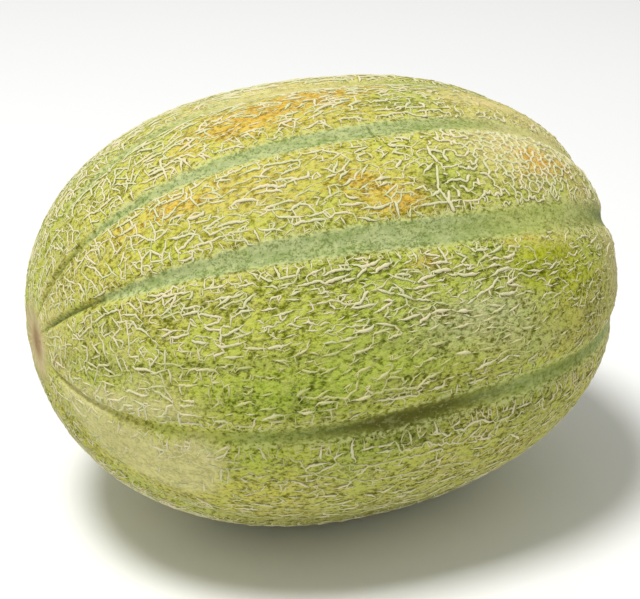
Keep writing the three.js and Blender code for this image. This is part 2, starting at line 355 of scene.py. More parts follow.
# Places on the rind that differ from the rest: middle and reach of each, as polar and around
# angle in degrees, and how strong it is.
nickAt = 92.5
patches = {
    "gold": [
        (84, 84, 32, 14, 1), (66, 58, 24, 13, 0.9), (88, 50, 14, 8, 0.6), (80, 118, 34, 20, 0.7),
        (95, 46, 9, 6, 0.6), (110, 165, 30, 18, 0.5), (60, -150, 24, 20, 0.4),
    ],
    "blush": [
        (88, 87, 14, 7, 1), (74, 81, 14, 8, 0.95), (100, 90, 7, 4, 0.8), (52, 60, 14, 6, 0.75),
        (42, 62, 8, 6, 0.5), (62, 78, 8, 6, 0.6), (90, 48, 9, 5, 0.75), (84, 52, 9, 6, 0.6),
        (123, 55, 8, 6, 1), (131, 54, 5, 5, 0.8), (92, 31, 5, 3, 0.55), (112, 33, 5, 4, 0.6),
        (88, 122, 14, 9, 0.6), (70, 150, 12, 8, 0.5),
    ],
    "tan": [
        (80, 98, 24, 8, 0.9), (121, 81, 12, 7, 1.1), (119, 30, 9, 5, 0.75), (134, 72, 14, 26, 1),
        (121, 61, 15, 14, 1.1), (138, 110, 10, 20, 0.5), (145, 20, 9, 40, 0.8), (138, 46, 9, 12, 0.6),
        (14, 30, 8, 60, 0.5),
    ],
    "pale": [
        (36, -24, 18, 13, 1), (46, -24, 10, 12, 1), (49, -20, 7, 11, 0.9), (24, -14, 12, 14, 0.8),
        (40, 4, 12, 9, 0.5), (36, -3, 20, 7, 0.7), (42, 0, 14, 7, 0.5), (36, 16, 10, 8, 0.4),
        (60, -80, 24, 20, 0.9), (85, -85, 22, 16, 0.7), (112, -88, 16, 14, 0.4),
    ],
    "leaf": [
        (74, 14, 32, 16, 0.6), (76, -16, 14, 5, 0.6), (64, 3, 20, 10, 1), (60, -15, 7, 8, 0.8),
        (88, 6, 14, 8, 0.6), (70, 22, 22, 8, 0.4), (78, 28, 20, 7, 0.35), (104, 52, 8, 9, 0.8),
        (104, 81, 8, 8, 0.7), (54, 92, 14, 8, 0.4), (100, -60, 24, 12, 0.4), (120, -140, 26, 14, 0.5),
        (80, -168, 22, 12, 0.5),
    ],
    "lime": [
        (117, 24, 10, 9, 1.2), (124, 18, 9, 8, 0.8), (50, 48, 10, 5, 0.5), (96, -125, 16, 10, 0.5),
    ],
    "olive": [
        (104, 48, 8, 7, 0.6), (88, -22, 30, 8, 0.5), (34, 24, 14, 16, 0.4), (13, 6, 5, 9, 1),
        (26, 62, 12, 34, 0.55), (130, 2, 9, 14, 0.9), (142, 10, 10, 20, 0.7), (116, -20, 16, 9, 0.6),
        (102, -24, 16, 8, 0.4), (50, 30, 14, 10, 0.4), (140, -60, 12, 30, 0.6),
    ],
    "cells": [(121, 57, 15, 16, 1.4)],
    "soft": [
        (134, 38, 20, 9, 1), (112, 38, 12, 8, 0.6), (128, 66, 16, 8, 0.8), (58, -9, 36, 8, 1),
        (104, -9, 26, 8, 1), (120, -9, 20, 8, 1), (85, -46, 50, 9, 1),
    ],
    "nick": [(nickAt, 68, 4, 6, 1)],
    "lost": [
        (80, -46, 60, 12, 0.75), (30, -9, 22, 12, 1), (48, -9, 10, 8, 0.7), (88, 96, 26, 9, 0.8),
        (136, 67, 20, 12, 0.75), (122, 38, 14, 8, 0.5),
    ],
    "warm": [(75, -42, 30, 15, 0.9), (98, -40, 26, 14, 0.8), (118, -30, 14, 10, 0.5)],
    # dark green blotches, and painted shade on the skin beside the lowest band seen from the front,
    # where it lies in shadow
    "mossAndShade": [
        (88, -13, 12, 5, 1.1), (95, -7, 9, 4, 0.9), (112, -15, 8, 4, 0.5), (105, 31, 5, 4, 0.8),
        (109, 24, 6, 4, 0.7), (98, 48, 5, 5, 0.6), (77, 31, 10, 3, 0.5), (100, 78, 6, 4, 0.6),
        (64, -2, 10, 5, 0.5), (90, -4, 11, 3.5, 0.6), (88, 0, 8, 4, 0.5), (92, -125, 12, 8, 0.6),
    ],
    "haze": [(101, 13, 12, 7, 1.2), (106, 8, 9, 6, 0.8), (112, 2, 9, 5, 0.5), (130, 36, 6, 5, 0.5)],
    "deep": [
        (84, -10, 50, 6, 0.85), (122, -8, 20, 7, 1), (108, 38, 10, 7, 0.4), (136, 37, 12, 5, 0.7),
        (110, 67, 14, 7, 0.35), (60, -10, 26, 6, 0.8),
    ],
    # painted shade: parts of the bands that lie in shadow, mostly the lowest band seen from the front
    # and one groove's stem end
    "paintedShade": [
        (87, -10, 16, 9, 1.2), (99, -12, 8, 5, 0.8), (146, 38, 8, 8, 0.5), (122, -8, 12, 5, 0.3),
        (134, 36, 10, 2.5, 0.4),
    ],
    "calm": [
        (90, -9, 13, 6, 0.9), (40, -30, 18, 16, 1), (52, -20, 8, 10, 0.8), (62, 4, 26, 12, 1),
        (88, 5, 20, 9, 0.95), (74, 4, 20, 9, 1), (36, -25, 20, 14, 1), (48, -27, 12, 12, 1),
        (118, 4, 14, 14, 0.8), (104, 8, 13, 8, 0.7), (62, -16, 12, 8, 0.8), (78, -19, 16, 5, 0.6),
        (30, 6, 12, 16, 0.5), (90, -24, 30, 8, 0.4), (60, -80, 24, 20, 0.6), (85, -85, 22, 16, 0.5),
        (123, 80, 11, 8, 1.1), (134, 88, 10, 11, 0.9), (140, 10, 10, 20, 0.5), (116, 31, 9, 5, 0.9),
    ],
}
# a faint line between two sutures, in colour alone, down the front; degrees and mm
faintBand = {"longitude": 11.0, "halfWidth": 2.6, "from": 12, "to": 112, "fadeIn": 10, "fadeOut": 30}


def faintWeight(polar, around):
    away = wrapped(around - radians(faintBand["longitude"])) * np.sin(polar) * meanRadius
    first, last = faintBand["from"], faintBand["to"]
    reach = smoothStep(polar, radians(last), radians(last - faintBand["fadeOut"]))
    start = smoothStep(polar, radians(first), radians(first + faintBand["fadeIn"]))
    return np.exp(-((away / faintBand["halfWidth"]) ** 2)) * reach * start


def patchWeight(kind, polar, around):
    weight = 0
    for atPolar, atAround, reachPolar, reachAround, strength in patches[kind]:
        alongWay = (polar - radians(atPolar)) / radians(reachPolar)
        acrossWay = wrapped(around - radians(atAround)) / radians(reachAround)
        here = np.exp(-((alongWay * alongWay + acrossWay * acrossWay) ** 1.15)) * strength
        weight = np.maximum(weight, here)
    return weight


def makeRind(material):
    graph, named = startTree("rindTree", {
        "Rows": rind["rows"],
        "Columns": rind["columns"],
        "Lump Height": rind["lumpHeight"],
        "Ripple Height": rind["rippleHeight"],
        "Scar Rim": rind["scarRim"],
        "Scar Dish": rind["scarDish"],
        "Seed": rind["seed"],
        "Material": "Material",
    })
    # a sheet of 1 by 1, whose X becomes the way from end to end and Y the way round
    sheet = graph.add("GeometryNodeMeshGrid", {
        "Size X": 1.0,
        "Size Y": 1.0,
        "Vertices X": named["Rows"],
        "Vertices Y": named["Columns"],
    })
    place = graph.add("GeometryNodeInputPosition")
    polar = (graph.separate(place, "X") + 0.5) * pi
    around = graph.separate(place, "Y") * fullTurn
    skin = skinPlace(polar, around)
    point = graph.combine(*skin["point"])

    def lumps(size, detail):
        inputs = {"Vector": point, "W": named["Seed"], "Scale": 1 / size, "Detail": detail}
        return graph.add("ShaderNodeTexNoise", inputs, noise_dimensions="4D") - 0.5

    onRib = smoothStep(skin["bandEdge"], -3.0, 4.0)
    inBand = rind["lumpsInBand"]
    relief = named["Lump Height"] * lumps(rind["lumpSize"], 1.0) * (inBand + (1 - inBand) * onRib)
    relief = relief + named["Ripple Height"] * lumps(rind["rippleSize"], 2.0) * onRib
    pastRim = skin["radius"] - skin["scarRadius"]
    relief = relief + named["Scar Rim"] * exponential(-1 * power(pastRim / rind["scarRimWidth"], 2))
    inScar = smoothStep(-pastRim, -0.5, 5.0)
    rough = rind["scarLumpHeight"] * inScar * lumps(rind["scarLumpSize"], 2.0)
    relief = relief - named["Scar Dish"] * inScar + rough

    # kept before the sheet is bent, while a point's place still says where on the skin it is
    stored = {
        "polar": polar,
        "around": around,
        "bandEdge": skin["bandEdge"],
        "halfBand": skin["halfBand"],
        "pastRim": pastRim,
    }
    for name, value in stored.items():
        sheet = graph.store(sheet, name, value)
    x, y, z = skinPlace(polar, around, relief)["point"]
    height = larger(0, z + middleHeight)
    moved = graph.add("GeometryNodeSetPosition", {
        "Geometry": sheet, "Position": graph.combine(x * mm, y * mm, height * mm),
    })
    # the rows at both poles become one point each, and the seam is closed
    joined = graph.add("GeometryNodeMergeByDistance", {"Geometry": moved, "Distance": 1e-6})
    endTree(graph, joined, named["Material"])
    return runTree(graph.tree, "rind", {"Material": material})


def readAttribute(mesh, name):
    values = np.empty(len(mesh.attributes[name].data), dtype=np.float32)
    mesh.attributes[name].data.foreach_get("value", values)
    return values.astype(float)


def writeAttribute(mesh, name, values):
    layer = mesh.attributes.new(name, "FLOAT", "POINT")
    layer.data.foreach_set("value", np.asarray(values, dtype=np.float32))


def paintPatches(mesh):
    polar = readAttribute(mesh, "polar")
    around = readAttribute(mesh, "around")
    for kind in patches:
        writeAttribute(mesh, kind, patchWeight(kind, polar, around))
    writeAttribute(mesh, "faint", faintWeight(polar, around))


# Materials.
def fromScreen(red, green, blue):
    # a colour as a screen shows it, 0 to 255, in the linear values that a shader takes
    def linear(channel):
        share = channel / 255
        return share / 12.92 if share <= 0.04045 else ((share + 0.055) / 1.055) ** 2.4
    return (linear(red), linear(green), linear(blue), 1)


def fromScreens(tones):
    return {name: fromScreen(*tone) for name, tone in tones.items()}


skinTones = fromScreens({
    "yellow": (211, 205, 88), "green": (183, 194, 82), "gold": (208, 186, 82),
    "leaf": (168, 190, 66), "lime": (172, 180, 12), "tan": (226, 208, 146), "olive": (166, 160, 84),
    "warm": (170, 162, 94), "mossAndShade": (104, 122, 34), "haze": (194, 198, 144),
    "orange": (228, 172, 54), "pale": (214, 208, 140), "faint": (148, 160, 70),
    "band": (170, 180, 124), "bandStreak": (146, 162, 96), "bandRim": (204, 208, 140),
    # the darkest band tone here, (84, 82, 22), is painted shade for bands in shadow; the narrow
    # bands' tone after it is partly their own colour and partly painted shade in the sharp grooves
    "deep": (132, 148, 62), "paintedShade": (84, 82, 22), "narrowBandAndShade": (142, 150, 78),
    "speck": (92, 106, 40), "scar": (190, 172, 122), "scarPale": (208, 192, 150),
    "scarDark": (158, 122, 90), "vein": (208, 200, 132), "fleck": (100, 98, 52),
})
# the dark left in the pits is partly their own colour and partly painted shade
pitToneAndShade = (0.2, 0.215, 0.01, 1)    # of the skin's colour, left in its pits
# layers of noise in the skin: size in mm, detail and roughness
skinNoise = {
    "broad": (38, 3, 0.5), "mottle": (7, 4, 0.6), "dapple": (3, 3, 0.55), "grain": (1.05, 3, 0.6),
    "fine": (0.55, 2, 0.5), "edge": (3, 3, 0.6), "streak": (3.5, 4, 0.65), "fibre": (1.3, 3, 0.6),
}
# washes of another tone: how far each frays, and its strength
washes = {
    "gold": (0.7, 0.8), "olive": (0.6, 0.8), "leaf": (0.9, 0.85), "tan": (0.6, 0.85),
    "lime": (0.5, 0.95), "warm": (0.8, 0.8), "mossAndShade": (1.6, 0.7), "haze": (0.8, 0.8),
    "faint": (0.9, 0.6), "deep": (0.5, 0.9), "paintedShade": (0.7, 0.95),
}
# how strongly each marking shows
shown = {
    "orange": 0.72, "pale": 0.95, "flecks": 0.85, "pitsAndShade": 0.95, "vein": 0.4, "bandLight": 0.42,
    "bandSpecks": 0.62, "bandRim": 0.6, "nick": 0.6, "scar": 0.9, "scarDark": 0.8,
}
paintedNet = {"size": 2.0, "stray": 1.6, "strayDensity": 500.0}    # mm, and per metre


def newMaterial(name):
    material = bpy.data.materials.new(name)
    material.use_nodes = True
    material.node_tree.nodes.clear()
    graph = Graph(material.node_tree)
    return material, graph, graph.add("ShaderNodeTexCoord", {}, "Object")


def finishMaterial(graph, inputs):
    shader = graph.add("ShaderNodeBsdfPrincipled", inputs)
    graph.add("ShaderNodeOutputMaterial", {"Surface": shader})


def bumpOf(graph, strength, depth, height):
    # depth in mm
    inputs = {"Strength": strength, "Distance": depth * mm, "Height": height}
    return graph.add("ShaderNodeBump", inputs)


def rindMaterial():
    material, graph, place = newMaterial("rindSkin")
    drawn = graph.drawnOut(place, 0.5)
    mix, ramp, own = graph.mix, graph.ramp, graph.attribute
    tone = skinTones
    broad = graph.noise(place, *skinNoise["broad"])
    mottle = graph.noise(drawn, *skinNoise["mottle"])
    dapple = graph.noise(place, *skinNoise["dapple"])
    grain = graph.noise(graph.drawnOut(place, 0.66), *skinNoise["grain"])
    fine = graph.noise(place, *skinNoise["fine"])

    def wash(skin, name):
        # a patch of another tone, broken up by the mottling where it fades out
        spread, strength = washes[name]
        weight = own(name)
        stray = (mottle - 0.5) * spread + (grain - 0.5) * spread * 0.6
        share = smaller(1, larger(0, weight + stray * 4 * weight * (1 - weight))) * strength
        return mix(share, skin, tone[name]), share

    def frayed(weight, spread, low, high):
        # a patch with a firmer edge, broken up likewise
        weight = weight + (mottle - 0.5) * spread + (grain - 0.5) * (spread / 2)
        return ramp(weight, low, high)

    ripe = ramp(broad * 0.4 + mottle * 0.35 + grain * 0.25, 0.4, 0.6)
    skin = mix(ripe, tone["green"], tone["yellow"])
    shares = {}
    # the moss green wash is partly real blotches and partly painted shade beside the lowest band
    for name in ("gold", "olive", "leaf", "tan", "lime", "warm", "mossAndShade", "haze"):
        skin, shares[name] = wash(skin, name)
    blotch = frayed(own("blush"), 1.6, 0.3, 0.95)
    skin = mix(blotch * shown["orange"], skin, tone["orange"])
    pale = frayed(own("pale"), 0.4, 0.25, 0.7)
    skin = mix(pale * shown["pale"], skin, tone["pale"])
    skin, _ = wash(skin, "faint")
    # fine grain, from light flecks to dark pits, with few pits where the skin is calm; the pits' dark
    # is partly their own colour, partly painted shade in them
    calmSkin = larger(pale * 0.75, larger(shares["gold"] * 0.35, shares["tan"] * 0.75))
    height = grain + (mottle - 0.5) * 0.3 + (dapple - 0.5) * 0.34 + (fine - 0.5) * 0.25
    flecks = 1 - ramp(height, 0.34, 0.5)
    flecked = mix(1.0, skin, tone["fleck"], "SCREEN")
    skin = mix(flecks * shown["flecks"], skin, flecked)
    # darker and more pitted beside the heavier cords: partly the skin's own pits, partly painted
    # shade cast by the raised cords
    pitsAndShadeNearCords = own("pitsAndShadeNearCords")
    pitsAndShade = ramp(height + pitsAndShadeNearCords * 0.16, 0.45, 0.74) * (1 - calmSkin * (1 - pitsAndShadeNearCords * 0.6))
    pitted = mix(1.0, skin, pitToneAndShade, "MULTIPLY")
    skin = mix(pitsAndShade * shown["pitsAndShade"], skin, pitted)

    # a painted net, finer than the raised one
    inputs = {"Vector": place, "Scale": paintedNet["strayDensity"]}
    stray = graph.add("ShaderNodeTexNoise", inputs, "Color")
    strayed = graph.vector("ADD", drawn, graph.vector("SCALE", stray, paintedNet["stray"] * mm))
    inputs = {"Vector": strayed, "Scale": 1 / (paintedNet["size"] * mm)}
    toEdge = graph.add("ShaderNodeTexVoronoi", inputs, "Distance", feature="DISTANCE_TO_EDGE")
    vein = (1 - ramp(toEdge, 0.02, 0.13)) * ramp(mottle, 0.35, 0.6)
    skin = mix(vein * (shown["vein"] - shares["leaf"] * 0.15), skin, tone["vein"])

    # sutures; ragged is the distance past a band's uneven edge, in mm
    narrow = ramp(own("halfBand"), 1.3, 0.72)
    edge = graph.noise(place, *skinNoise["edge"])
    ragged = own("bandEdge") + (edge - 0.5) * 3.2 + narrow * 0.5
    soft = own("soft")
    kept = 1 - own("lost")
    onBand = (1 - ramp(ragged, -0.6 - soft * 3.4, 0.5 + soft * 2)) * kept
    streak = graph.noise(graph.drawnOut(place, 0.3), *skinNoise["streak"])
    band = mix(ramp(streak, 0.36, 0.66), tone["band"], tone["bandStreak"])
    # where a band is narrow its tone is darker: partly its own colour, partly painted shade in the
    # sharp groove
    band = mix(narrow, band, tone["narrowBandAndShade"])
    band, deep = wash(band, "deep")
    # painted shade, darkening the bands where they lie in shadow
    band, _ = wash(band, "paintedShade")
    light = ramp(dapple * 0.4 + grain * 0.6, 0.5, 0.4) * (1 - deep * 0.7)
    band = mix(light * shown["bandLight"], band, tone["bandRim"])
    specks = ramp(fine * 0.55 + grain * 0.45 + (mottle - 0.5) * 0.2, 0.5, 0.6)
    band = mix(specks * shown["bandSpecks"], band, tone["speck"])
    skin = mix(onBand, skin, band)
    # an old nick across one band
    fromNick = own("polar") - radians(nickAt) + (fine - 0.5) * 0.012
    nick = (1 - ramp(magnitude(fromNick), 0.002, 0.008)) * own("nick")
    skin = mix(nick * shown["nick"], skin, tone["speck"])
    rim = ramp(ragged, -1.4, -0.3) * (1 - ramp(ragged, 0.4, 1.6)) * (1 - narrow)
    rim = rim * ramp(grain, 0.56, 0.42) * kept
    skin = mix(rim * shown["bandRim"], skin, tone["bandRim"])

    # the corky ends, streaked away from the middle of each
    turned = own("around")
    fan = graph.combine(cosine(turned) * 12 * mm, sine(turned) * 12 * mm, own("polar") * 8 * mm)
    fibre = graph.noise(fan, *skinNoise["fibre"])
    inwards = own("pastRim") * -0.1
    scar = ramp(inwards + (fibre - 0.5) * 0.9 + (mottle - 0.5) * 0.3, -0.45, 0.2)
    inner = ramp(inwards + (fibre - 0.5) * 0.8 + (mottle - 0.5) * 0.6, 0.25, 0.85)
    corky = mix(ramp(fibre, 0.35, 0.65), tone["scar"], tone["scarPale"])
    corky = mix(inner * shown["scarDark"], corky, tone["scarDark"])
    skin = mix(scar * shown["scar"], skin, corky)

    onSkin = (1 - onBand) * (1 - scar)
    relief = (grain * -1.0 + vein * 0.3) * onSkin + fine * 0.15 + fibre * scar * 0.8
    finishMaterial(graph, {
        "Base Color": skin,
        "Roughness": 0.6 + pitsAndShade * 0.12 + scar * 0.2 + (mottle - 0.5) * 0.15,
        "Normal": bumpOf(graph, 0.8, 0.6, relief),
        "Specular IOR Level": 0.08,
    })
    return material


corkTones = fromScreens({
    "cream": (212, 212, 164), "pink": (224, 214, 174), "thin": (186, 190, 118),
    # the dark tone (84, 90, 18) is painted shade, for the foot of the cords
    "thinPink": (202, 198, 136), "dry": (196, 178, 124), "footShade": (84, 90, 18),
})
corkNoise = {"mottle": (5, 3), "grain": (0.9, 3)}    # size in mm and detail


def corkMaterial():
    material, graph, place = newMaterial("netCork")
    tone = corkTones
    mottle = graph.noise(place, *corkNoise["mottle"])
    grain = graph.noise(place, *corkNoise["grain"])
    toPink = graph.ramp(mottle, 0.35, 0.65)
    cream = graph.mix(toPink, tone["cream"], tone["pink"])
    thin = graph.mix(toPink, tone["thin"], tone["thinPink"])
    showing = graph.attribute("strength") + (mottle - 0.5) * 0.6 + (grain - 0.5) * 0.8
    cork = graph.mix(graph.ramp(showing, 0.3, 0.9), thin, cream)
    cork = graph.mix(graph.ramp(grain, 0.55, 0.75) * 0.3, cork, tone["dry"])
    # painted shade: the foot of a cord is painted dark green, as though the raised cord shaded it,
    # more in some places than in others
    rise = graph.attribute("rise") + (mottle - 0.5) * 0.3 + (grain - 0.5) * 0.3
    shadedFoot = 1 - graph.ramp(rise, 0.5, 0.82)
    cork = graph.mix(shadedFoot * graph.attribute("footShade") * 0.9, cork, tone["footShade"])
    finishMaterial(graph, {
        "Base Color": cork,
        "Roughness": 0.75 + grain * 0.15,
        "Normal": bumpOf(graph, 0.4, 0.15, grain),
        "Specular IOR Level": 0.08,
    })
    return material


# Net: the cords are first grown as lines on the skin, each as polar angle and turn, the way
# round counted from the first suture, then swept as flattened corky ropes.
net = {
    "seed": 11,
    "step": 0.7,            # between grown points, mm
    "joinAt": 0.7,          # a cord this near to another runs into it
    "stopAt": 0.95,         # where one that isn't to join ends
    "clearOfScar": 0.8,
    "overBand": 0.4,        # how far a cord may run onto a band
    "poleLevel": 0.985,     # seeds are sown up to this level at both ends
    "seedJitter": (0.75, 1.25),
    "seedMost": 3.9,        # the grid below finds nothing further off
    "seedTurn": 9,          # spread in degrees, as are the next two
    "combTurn": 18,
    "crossTurn": 22,
    "alongTurn": (5, 15),   # mean and spread, of the cords that run along the ribs
    "crossNear": (5, 2),    # from a band's edge, where cords begin to stand across the ribs
    "crossAtEdge": 0.7,     # share of them that does so at the edge
    "crossAtEnd": (0.5, 0.85),    # and at the ends, before and past the sixth suture
    "seedCalm": 0.9,        # share of the seeds that is dropped where the skin is calm
    "combCalm": 0.85,
    "seedCells": 0.5,       # share dropped among the closed cells
    "seedLean": 1.6,        # the higher, the fewer cords are long
    "sideLean": 1.5,
    "shorterCalm": 0.5,     # share of its length that a cord loses where the skin is calm
    "shorterEnd": 0.4,      # and that it loses towards the stem end
    "ledDrift": (0.6, 0.22),      # of a led cord, from point to point: share kept, mm added
    "combFrom": (12, 15),   # from the blossom end
    "combTo": 9,            # from the stem end
    "combJitter": (0.5, 1.6),
    "combInset": 0.35,
    "backwards": 0.4,       # share of the side cords that point back
    "cellTries": 9000,
    "cellReach": 34,        # from the middle of the patch of cells
    "cellSpacing": (1.8, 4.4),
    "cellBend": 0.3,        # against a cord's length
    "cellMost": 0.9,        # share of the cells' cords that is kept at most
    "halfWidth": 0.38,      # of a cord of strength 1
    "taper": 3.2,           # length over which an end narrows
    "joinedEnd": 0.68,      # what is left of the width there
    "freeEnd": 0.1,
    "endThinning": 0.22,    # share of its width that a cord has lost at the melon's ends
    "wiggle": 0.17,
    "wiggleSize": 1.0,
    "swell": 0.42,
    "swellSize": 0.6,
    # the skin beside heavy cords is painted darker: partly pits, partly painted shade of the cords
    "crowdReach": 1.3,      # how far from a heavy cord the skin is darker
    "crowdLimit": 2.0,
    "crowdFrom": 0.4,       # strength above which a cord counts as heavy
    "binSize": 2.0,         # of the grid that finds what is near
}
# kink is a bend in degrees, pull how firmly a cord keeps to its way, join the chance of running
# into another; spacing lies between seeds, clear to grown cords, fromEdge to a band's edge, mm;
# side cords leave at those angles, with up to every points between them
cordKinds = {
    "rail": {
        "tries": 3500, "spacing": 2.4, "fromEdge": (2.6, 5), "alongBand": True,
        "length": (5, 20), "kink": 22, "pull": 0.6, "join": 0.75, "strength": (0.85, 1.15),
    },
    "twig": {
        "tries": 60000, "spacing": 1.35, "fromEdge": (0.4, farOff), "atEnds": True,
        "length": (3, 13), "kink": 28, "pull": 0.25, "join": 0.92, "strength": (0.75, 1.15),
    },
    "main": {
        "tries": 60000, "spacing": 1.6, "fromEdge": (1.5, farOff),
        "length": (2.5, 12), "kink": 20, "pull": 0.4, "join": 0.75, "strength": (0.6, 1.35),
    },
    "comb": {
        "spacing": 1.8, "clear": 0.85,
        "length": (1.5, 5.5), "kink": 22, "pull": 0.3, "join": 0.85, "strength": (0.6, 0.95),
    },
    "branch": {
        "every": 7, "angles": (35, 80),
        "length": (1, 4.5), "kink": 24, "pull": 0, "join": 0.85, "strength": (0.55, 0.9),
    },
    "spur": {
        "every": 6, "angles": (50, 90),
        "length": (0.8, 1.8), "kink": 5, "pull": 0, "join": 0.95, "strength": (0.5, 0.75),
    },
    "fringe": {
        "spacing": 0.8, "clear": 0.5,
        "length": (0.8, 2.2), "kink": 22, "pull": 0, "join": 0.7, "strength": (0.4, 0.62),
    },
    "fine": {
        "tries": 60000, "spacing": 0.95, "fromEdge": (0.3, farOff),
        "length": (1.2, 4), "kink": 30, "pull": 0.3, "join": 0.75, "strength": (0.34, 0.55),
    },
    "cell": {"strength": (0.8, 1.5)},
    "led": {"strength": (0.7, 0.9)},
}
# a few long cords that run where they are led: polar angle and angle around, in degrees
ledCords = [
    [(65, -15), (68, -17), (69, -19.5), (74, -22), (80, -24.5), (88, -25), (96, -25.5), (103, -28)],
    [(73, -15.5), (75, -18.5), (80, -20), (86, -19.8), (92, -20.5)],
    [(84, -14.5), (86, -18), (91, -17.5), (97, -19.5), (104, -19)],
    [(78, 1.5), (80, -1.5), (84, -1), (88, -2.5), (91, 1)],
    [(70, 0.5), (75, -1), (78, 1.5)],
]
thinKinds = ("fringe", "fine")
# polar angles between which the net becomes finer, sparser or slimmer
blossomEnd = (1.15, 0.7)
stemEnd = (2.3, 2.6)
slimBlossom = (1.1, 0.7)
towardsStem = (1.75, 2.1)
# cross-sections against a cord's half width: across, and up from the skin
sections = {
    "rope": [(-1.9, -0.5), (1.9, -0.5), (0.5, 1.05), (-0.5, 1.05)],
    "thread": [(-1.8, -0.5), (1.8, -0.5), (0.0, 1.25)],
}
tableSize = 720


def makeTables():
    # by polar angle: arc from the blossom end, distance from the axis, band's half width, mm
    polars = np.linspace(0, pi, tableSize + 1)
    _, along, out = profile(np.clip(polars, 1e-4, pi - 1e-4))
    steps = np.hypot(np.diff(along * halfLength), np.diff(out * meanRadius))
    arcs = np.concatenate([[0], np.cumsum(steps)])
    rows = (np.arange(int(arcs[-1] / net["binSize"]) + 3) - 0.5) * net["binSize"]
    return {
        "polar": polars.tolist(),
        "arc": arcs.tolist(),
        "radius": (out * meanRadius).tolist(),
        "band": halfWidthOf("paint", along).tolist(),
        "rowRadius": np.interp(rows, arcs, out * meanRadius).tolist(),
    }


tables = makeTables()
sutureTurns = [radians(entry[0] - sutures[0][0]) for entry in sutures] + [fullTurn]


def reader(name):
    # a function that reads one table at a polar angle
    table = tables[name]

    def at(polar):
        position = min(max(polar, 0.0), pi) / pi * tableSize
        index = min(int(position), tableSize - 1)
        return table[index] + (table[index + 1] - table[index]) * (position - index)
    return at


arcAt = reader("arc")
radiusAt = reader("radius")
bandAt = reader("band")


def polarAt(arc):
    return float(np.interp(arc, tables["arc"], tables["polar"]))


def easeIn(value, low, high):
    # smoothStep for one plain number, which is faster
    share = min(1.0, max(0.0, (value - low) / (high - low)))
    return share * share * (3 - 2 * share)


def weightAt(kind, polar, turn):
    return float(patchWeight(kind, polar, turn + firstLongitude))


def bandReach(polar, suture, side):
    # mm from a groove's middle to the edge of its painted band, on the side of growing turns
    # or, with side -1, on the other
    share, shift = bandPaint[suture % len(sutures)]
    aside = radians(shift) * radiusAt(polar)
    return bandAt(polar) * share + aside * side


def ribOf(turn):
    rib = 0
    while rib < len(sutures) - 1 and turn > sutureTurns[rib + 1]:
        rib += 1
    return rib


def edgeOf(polar, turn):
    # mm from the nearer band's edge
    rib = ribOf(turn)
    radius = radiusAt(polar)
    before = (turn - sutureTurns[rib]) * radius - bandReach(polar, rib, 1)
    after = (sutureTurns[rib + 1] - turn) * radius - bandReach(polar, rib + 1, -1)
    return min(before, after)


def endWeight(polar):
    # 1 near both ends, where the net is finer
    return max(easeIn(polar, *blossomEnd), easeIn(polar, *stemEnd))


